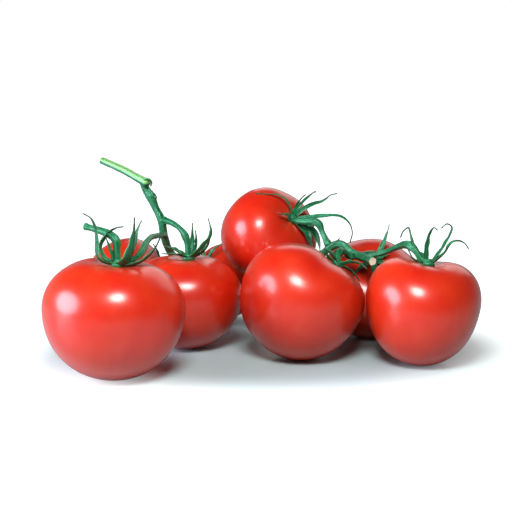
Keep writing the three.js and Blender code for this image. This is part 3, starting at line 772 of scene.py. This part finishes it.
sepals = {
    1: [
        dict(turn=196, rise=[0, 8, 50, 84, 88, 80, 66, 54, 4], swing=0, length=35, width=4.8),
        dict(turn=168, rise=[8, 16, 46, 84, 110, 126, 138, 158, 170], swing=0, length=31, width=4.4),
        dict(turn=165, rise=[60, 66, 66, 60], swing=0, length=14, width=3.4),
        dict(turn=316, rise=[14, 34, 60, 76, 84, 90, 94, 96], swing=6, length=30, width=6.8),
        dict(turn=38, rise=[20, 40, 64, 80, 84, 74, 60], swing=0, length=26, width=5),
        dict(turn=342, rise=[0, 10, 28, 42, 54, 64, 74], swing=2, length=29, width=5),
    ],
    2: [
        dict(turn=330, rise=[38, 44, 50, 58, 108, 112], swing=6, length=30, width=5.4),
        dict(turn=4, rise=[20, 34, 58, 84, 94], swing=0, length=21, width=4.8),
        dict(turn=60, rise=[62, 84, 96, 100], swing=0, length=20, width=4.4),
        dict(turn=30, rise=[50, 72, 96, 104], swing=0, length=16, width=4.4),
        dict(turn=168, rise=[40, 28, 16, 8], swing=0, length=14, width=5.4),
        dict(turn=228, rise=[32, 12, 0, 2], swing=-30, length=16, width=4),
    ],
    3: [
        dict(turn=20, rise=[30, 10, -20], swing=0, length=17, width=4.4),
        dict(turn=92, rise=[35, 20, -5], swing=0, length=18, width=4.4),
        dict(turn=165, rise=[35, 15, -10], swing=10, length=19, width=4.4),
        dict(turn=238, rise=[35, 20, 0], swing=0, length=17, width=4.4),
        dict(turn=308, rise=[30, 10, -15], swing=0, length=16, width=4.4),
    ],
    4: [
        dict(turn=146, rise=[38, 20, -10, -40, -60, -62], swing=54, length=30, width=2.4),
        dict(turn=114, rise=[20, 24, 38, 56, 62], swing=-40, length=15, width=3.4),
        dict(turn=102, rise=[20, 32, 44, 50, 40, 0, -70], swing=-50, length=25, width=3.6),
        dict(turn=78, rise=[32, 42, 36, 22, 24, 92, 96, 30], swing=-60, length=33, width=4.2),
        dict(turn=25, rise=[42, 50, 56, 60, 58, 36, 0, -30, -62], swing=-75, length=48, width=4.4),
        dict(turn=328, rise=[25, 14, 16, -4, -16, -24], swing=-20, length=24, width=9),
        dict(turn=352, rise=[30, 22, 22, 0, -14, -20], swing=-46, length=27, width=8.6),
        dict(turn=215, rise=[35, 10, -20], swing=0, length=12, width=4),
    ],
    5: [
        dict(turn=206, rise=[28, 0, -20], swing=0, length=11, width=4.4),
        dict(turn=200, rise=[-20, -10, 30, 95, 95, 95], swing=0, length=19, width=3.8),
        dict(turn=318, rise=[60, 52, 20, -4], swing=20, length=17, width=4.4),
        dict(turn=128, rise=[30, 12, -16], swing=0, length=12, width=4.4),
        dict(turn=72, rise=[32, 16, -6, -14], swing=0, length=16, width=4.2),
        dict(turn=12, rise=[30, 8, -22], swing=0, length=15, width=4.2),
    ],
    6: [
        dict(turn=190, rise=[6, 10, 52, 58], swing=0, length=13, width=3.2),
        dict(turn=162, rise=[46, 44, 46, 58, 66, 78, 42, -130, -20], swing=0, length=29, width=4),
        dict(turn=122, rise=[58, 72, 86, 90, 96, 106, 120, 155, 235], swing=0, length=24, width=5.2),
        dict(turn=15, rise=[55, 57, 59, 63, 68, 67, 92, 212, 231], swing=0, length=30.5, width=4.2),
        dict(turn=350, rise=[42, 46, 52, 60, 74, 32, -8, -30, -66], swing=0, length=27, width=4.4),
        dict(turn=100, rise=[30, 20, 0], swing=20, length=13, width=3.6),
    ],
    7: [
        dict(turn=48, rise=[24, 36, 44, 40], swing=24, length=23, width=4.2),
        dict(turn=168, rise=[34, 8, -20, -24], swing=0, length=18, width=4.2),
        dict(turn=222, rise=[32, 4, -24, -34], swing=0, length=18, width=4.2),
        dict(turn=268, rise=[30, 0, -24, -38], swing=0, length=19, width=4.2),
        dict(turn=322, rise=[32, 4, -22], swing=0, length=16, width=4.2),
        dict(turn=18, rise=[32, 10, -18], swing=0, length=9, width=4),
    ],
    8: [
        dict(turn=10, rise=[32, 10, -15], swing=0, length=15, width=4.2),
        dict(turn=82, rise=[32, 12, -10], swing=0, length=17, width=4.2),
        dict(turn=155, rise=[34, 20, 4], swing=0, length=17, width=4.2),
        dict(turn=226, rise=[34, 18, 0], swing=0, length=16, width=4.2),
        dict(turn=300, rise=[32, 10, -15], swing=0, length=15, width=4.2),
    ],
}

bladeShape = dict(
    steps=8, thickness=0.62, thread=0.76, clearance=0.8, around=20, along=64, pastEnd=0.25,
    # its width at the root, how fast it widens and tapers, and how much thinner its edges are
    rootShare=0.7, widens=1.8, tapers=1.3, edgeThins=0.45,
    curl=0.5, flatAt=0.35, keel=(0.55, -0.12), keelWidth=0.28, keelDepth=0.35, keelLimit=1.2,
    wave=0.22, waves=(16, 26), wavesApart=2.2, waveLimit=1.4, twist=70, twistLate=2.5,
    vein=0.16, sideVein=0.35, sideVeinAt=0.5, sideVeinWidth=0.1,
)
# how many times as wide as the solids' each calyx's blades are drawn
widening = {1: 1.28, 2: 1.2, 3: 1.2, 4: 0.85, 5: 1.1, 6: 0.95, 7: 1.1, 8: 1.2}


def sepalLine(key, sepal):
    # eight steps that each follow the sepal's slope and turn, kept clear of the skins, as in the
    # solids, and then a smooth curve through them
    fruit = fruits[key]
    count = bladeShape["steps"]
    share = (np.arange(count) + 0.5) / count
    rise = sepal["rise"]
    slope = np.radians(np.interp(share * (len(rise) - 1), range(len(rise)), rise))
    way = np.radians(sepal["turn"] + sepal["swing"] * share)
    step = np.stack([np.cos(slope) * np.cos(way), np.cos(slope) * np.sin(way), np.sin(slope)], -1)
    root = np.radians(sepal["turn"])
    inset = receptacle["sepalRoot"]
    height = receptacle["height"] * receptacle["sepalsAt"]
    start = np.array([inset * np.cos(root), inset * np.sin(root), height])
    line = start + np.vstack([np.zeros(3), np.cumsum(step, axis=0) * (sepal["length"] + inset) / count])
    line = line @ fruit["stand"].T + fruit["calyxAt"]
    line[2:] = clearOfFruits(line[2:], bladeShape["clearance"])
    return alongCurve(line, np.linspace(0, count, bladeShape["along"]))


def sepalSurface(key, sepal, seed):
    # a blade carried along its line: its section is a shallow channel with curled edges and a keel,
    # its edges wave, and it narrows and twists into a dried thread
    shape = bladeShape
    random = np.random.default_rng(seed)
    line = sepalLine(key, sepal)
    share = np.linspace(0, 1, len(line))
    root = np.radians(sepal["turn"] + 90)
    sideways = fruits[key]["stand"] @ np.array([np.cos(root), np.sin(root), 0])
    along, across, face = carriedFrame(line, sideways)
    twist = np.radians(random.uniform(-shape["twist"], shape["twist"])) * share ** shape["twistLate"]
    sine, cosine = np.sin(twist)[:, None], np.cos(twist)[:, None]
    across, face = across * cosine + face * sine, face * cosine - across * sine

    width = sepal["width"] * widening[key] * (1 - share) ** shape["tapers"]
    width = width * (shape["rootShare"] + shape["widens"] * share)
    half = np.maximum(shape["thread"], width)[:, None] / 2
    thick = (shape["thickness"] + (shape["thread"] - shape["thickness"]) * share)[:, None] / 2
    turn = turnsRound(shape["around"])
    over = np.cos(turn)  # from one edge to the other
    upper = np.sin(turn)  # above or below the blade
    body = half * over
    channel = shape["curl"] * half * (over**2 - shape["flatAt"])
    below, above = shape["keel"]
    keel = np.where(upper < 0, below, above) * bell(over, shape["keelWidth"])
    keel = keel * np.minimum(half, shape["keelLimit"]) * -shape["keelDepth"]
    phase = shape["wavesApart"] * np.sign(over) + seed
    waves = shape["wave"] * np.sin(share[:, None] * random.uniform(*shape["waves"]) + phase) * over**2
    waves = waves * np.sin(np.pi * share[:, None]) ** 0.7 * np.minimum(half, shape["waveLimit"])
    skin = thick * np.sign(upper) * np.abs(upper) ** 0.8 * (1 - shape["edgeThins"] * np.abs(over))
    lift = skin + channel + keel + waves
    grid = line[:, None] + across[:, None] * body[..., None] + face[:, None] * lift[..., None]

    grain = share[:, None] * sepal["length"] * stemShape["grainLength"]
    # the midrib and side veins are painted lighter, a painted highlight as on the stems' ridges
    sideVeins = bell(np.abs(over) - shape["sideVeinAt"], shape["sideVeinWidth"])
    vein = bell(over, shape["vein"]) + shape["sideVein"] * sideVeins
    # the blade's underside is painted darker, a painted shade
    return surfaceOf(
        grid, line[0], line[-1] + along[-1] * shape["pastEnd"],
        tip=share[:, None], under=np.clip(-2 * upper, 0, 1), edge=np.abs(over),
        ridge=np.clip(vein, 0, 1) * (1 - share[:, None]), run=stacked(body, 0.4 * upper + seed, grain),
    )


# the receptacle's half section, from below: shares of its radius and height, and of its lobes
receptacleSection = np.array([
    [0.45, -0.5, 0], [0.8, -0.28, 0.4], [0.97, 0.0, 1], [1.0, 0.28, 1], [0.93, 0.55, 1], [0.8, 0.74, 0.7],
    [0.66, 0.9, 0.4], [0.56, 1.12, 0.2], [0.5, 1.45, 0],
])


def receptacleSurface(key):
    # the little green disc that the sepals and the stalk grow from, drawn out a little at each sepal
    fruit = fruits[key]
    out, height, lobed = (receptacleSection[:, k : k + 1] for k in range(3))
    turn = turnsRound(receptacle["sides"])
    fromSepals = [np.cos(turn - np.radians(sepal["turn"])) - 1 for sepal in sepals[key]]
    lobes = sum(np.exp(receptacle["sharpness"] * away) for away in fromSepals)
    lobes = np.clip(lobes, 0, 1) - 0.5
    size = out * receptacle["radius"] * (1 + receptacle["lobes"] * lobes * lobed)
    grid = stacked(size * np.cos(turn), size * np.sin(turn), height * receptacle["height"])
    run = grid * np.array([1, 1, 0.3]) + key
    grid = grid @ fruit["stand"].T + fruit["calyxAt"]
    # the lobes are painted lighter, a painted highlight as on the stems' ridges
    return surfaceOf(grid, grid[0].mean(0), grid[-1].mean(0), ridge=0.6 * np.clip(lobes, 0, 1), run=run)


for key in fruits:
    gapStart = jointSpans(key)[0]
    ends = ("buried", "joint")
    surfaces = [receptacleSurface(key), stemSurface(stalkPoints(key), 0.0, gapStart, ends, seed=key)]
    surfaces += [sepalSurface(key, sepal, 10 * key + i) for i, sepal in enumerate(sepals[key])]
    if key == 1:
        surfaces.append(stemSurface(prunedTip, ends=("buried", "cut"), seed=21))
    makePiece(f"calyx{key}", surfaces, calyxFinish, [f"calyx_{key}"])
print("calyxes made")

surfaces = [
    # the main stem and its peel carry painted light on their upper side and painted shade below
    stemSurface(mainStem, ends=("cut", "healed"), seed=31, pale=1.0),
    stemSurface(peel, ends=("buried", "buried"), seed=33, pale=0.8),
    stemSurface(bractStub, ends=("buried", "healed"), seed=34),
    stemSurface(rachis, ends=("buried", "cut"), seed=32),
]
for key in fruits:
    gapEnd = jointSpans(key)[1]
    ends = ("joint", "buried")
    surfaces.append(stemSurface(stalkPoints(key), gapEnd, None, ends, seed=40 + key, flared=True))
makePiece("vineStems", surfaces, vineFinish, ["vine"])


# Fine hairs on the stems: lean is how far they stray from straight out, root how deep they start

hairShape = dict(length=(0.35, 0.9), radius=0.035, lean=0.3, root=0.08)


def hairSurfaces(roots):
    # three-sided spikes that stand on the stems, all of them in one array
    random = np.random.default_rng(5)
    base, outward, along = (np.vstack(part) for part in zip(*roots))
    way = unit(outward + hairShape["lean"] * random.normal(size=(len(base), 3)))
    length = random.uniform(*hairShape["length"], len(base))[:, None]
    turn = np.arange(3) * 2 * np.pi / 3
    side = unit(np.cross(way, along + 1e-3))
    other = np.cross(way, side)
    foot = (base - hairShape["root"] * way)[:, None] + hairShape["radius"] * (
        side[:, None] * np.cos(turn)[None, :, None] + other[:, None] * np.sin(turn)[None, :, None]
    )
    points = np.concatenate([foot, (base + way * length)[:, None]], axis=1).reshape(-1, 3)
    corner = np.arange(len(base))[:, None] * 4
    faces = np.vstack([corner + [0, 1, 3], corner + [1, 2, 3], corner + [2, 0, 3], corner + [2, 1, 0]])
    return dict(points=points, quads=np.zeros((0, 4), int), ends=faces, fields={})


makePiece("stemHairs", [hairSurfaces(hairRoots)], hairFinish)
print("stems and hairs made")


# Table, sky and lamps: places and sizes in metres, powers in watts

tableTop = dict(
    radius=9.0, sides=96, colour=(0.52, 0.70, 0.72), tone=3.0, toneShare=0.04,
    roughness=0.28, gloss=0.25, glow=1.1,
    # how far from the middle the glow starts and is full, with distances sideways counted short
    clear=(0.068, 0.14), squeeze=(0.72, 1, 1),
    # how much of the glow and of the colour lights the truss
    spill=0.16, bounce=0.72,
)
lamps = dict(
    left=dict(
        place=(-0.72, -0.28, 0.27), shape="ELLIPSE", size=(0.54, 0.50),
        power=8.8, colour=(0.86, 0.84, 1.0),
    ),
    front=dict(
        place=(-0.012, -0.36, 0.35), shape="ELLIPSE", size=(0.16, 0.15),
        power=2.1, colour=(1.0, 0.99, 0.97),
    ),
    back=dict(
        place=(0.3, 0.8, 0.55), shape="RECTANGLE", size=(1.0, 0.5),
        power=1.8, colour=(1.0, 0.98, 0.95),
    ),
)
lampsAimAt = (0, 0, 0.04)
skyLight = dict(
    seen=(1.0, 1.0, 1.0), left=(0.26, 0.255, 0.26), right=(0.17, 0.17, 0.17), behind=(0.4, 0.4, 0.4),
    above=(0.05, 0.05, 0.05), sideSpan=(-0.9, 0.8), rearSpan=(0.1, 0.7), highSpan=(-0.02, 0.45),
)


def makeSky():
    # pure white where the camera looks past the table; its light falls off from left to right and
    # towards the top, and is brightest behind the truss
    world = bpy.data.worlds.new("studio")
    bpy.context.scene.world = world
    world.use_nodes = True
    tree = world.node_tree
    way = tree.nodes.new("ShaderNodeTexCoord").outputs["Generated"]
    x, y, z = newNode(tree, "ShaderNodeSeparateXYZ", Vector=way).outputs
    side = rangeOf(tree, x, skyLight["sideSpan"]).outputs[0]
    rear = rangeOf(tree, y, skyLight["rearSpan"]).outputs[0]
    high = rangeOf(tree, z, skyLight["highSpan"]).outputs[0]
    light = mixed(tree, side, skyLight["left"], skyLight["right"])
    light = mixed(tree, rear, light, skyLight["behind"])
    light = mixed(tree, high, light, skyLight["above"])
    seen = tree.nodes.new("ShaderNodeLightPath").outputs["Is Camera Ray"]
    tree.links.new(mixed(tree, seen, light, skyLight["seen"]), tree.nodes["Background"].inputs["Color"])


def makeTable():
    # a round pale top that glows white away from the truss, and lights the truss with a part of that
    turn = turnsRound(tableTop["sides"])[0]
    rim = stacked(np.cos(turn), np.sin(turn), 0 * turn) * tableTop["radius"]
    mesh = bpy.data.meshes.new("table")
    mesh.from_pydata(rim.tolist(), [], [list(range(len(rim)))])
    finish, tree, shader, place = newFinish("paleTable")
    seen = tree.nodes.new("ShaderNodeLightPath").outputs["Is Camera Ray"]
    tone = times(tree, noiseOf(tree, place, tableTop["tone"]), tableTop["toneShare"])
    colour = mixed(tree, tone, tableTop["colour"], (1.0, 1.0, 1.0))
    bounce = spanOf(tree, seen, tableTop["bounce"], 1.0)
    tree.links.new(mixed(tree, bounce, (0, 0, 0), colour), shader.inputs["Base Color"])
    shader.inputs["Roughness"].default_value = tableTop["roughness"]
    shader.inputs["Specular IOR Level"].default_value = tableTop["gloss"]
    flat = newNode(tree, "ShaderNodeVectorMath", at0=place, at1=tableTop["squeeze"])
    flat.operation = "MULTIPLY"
    far = newNode(tree, "ShaderNodeVectorMath", at0=flat.outputs[0])
    far.operation = "LENGTH"
    glow = rangeOf(tree, far.outputs["Value"], tableTop["clear"])
    glow.interpolation_type = "SMOOTHSTEP"
    glow = times(tree, glow.outputs[0], spanOf(tree, seen, tableTop["spill"], 1.0))
    tree.links.new(mixed(tree, glow, (0, 0, 0), (1, 1, 1)), shader.inputs["Emission Color"])
    shader.inputs["Emission Strength"].default_value = tableTop["glow"]
    mesh.materials.append(finish)
    table = bpy.data.objects.new("table", mesh)
    bpy.context.collection.objects.link(table)


def makeLamp(name, values):
    light = bpy.data.lights.new(name, "AREA")
    light.shape = values["shape"]
    light.size, light.size_y = values["size"]
    light.energy = values["power"]
    light.color = values["colour"]
    lamp = bpy.data.objects.new(name, light)
    bpy.context.collection.objects.link(lamp)
    lamp.visible_camera = False
    lamp.location = values["place"]
    way = Vector(values["place"]) - Vector(lampsAimAt)
    lamp.rotation_euler = way.to_track_quat("Z", "Y").to_euler()


makeTable()
for name, values in lamps.items():
    makeLamp(name, values)
makeSky()
print("stage lit")
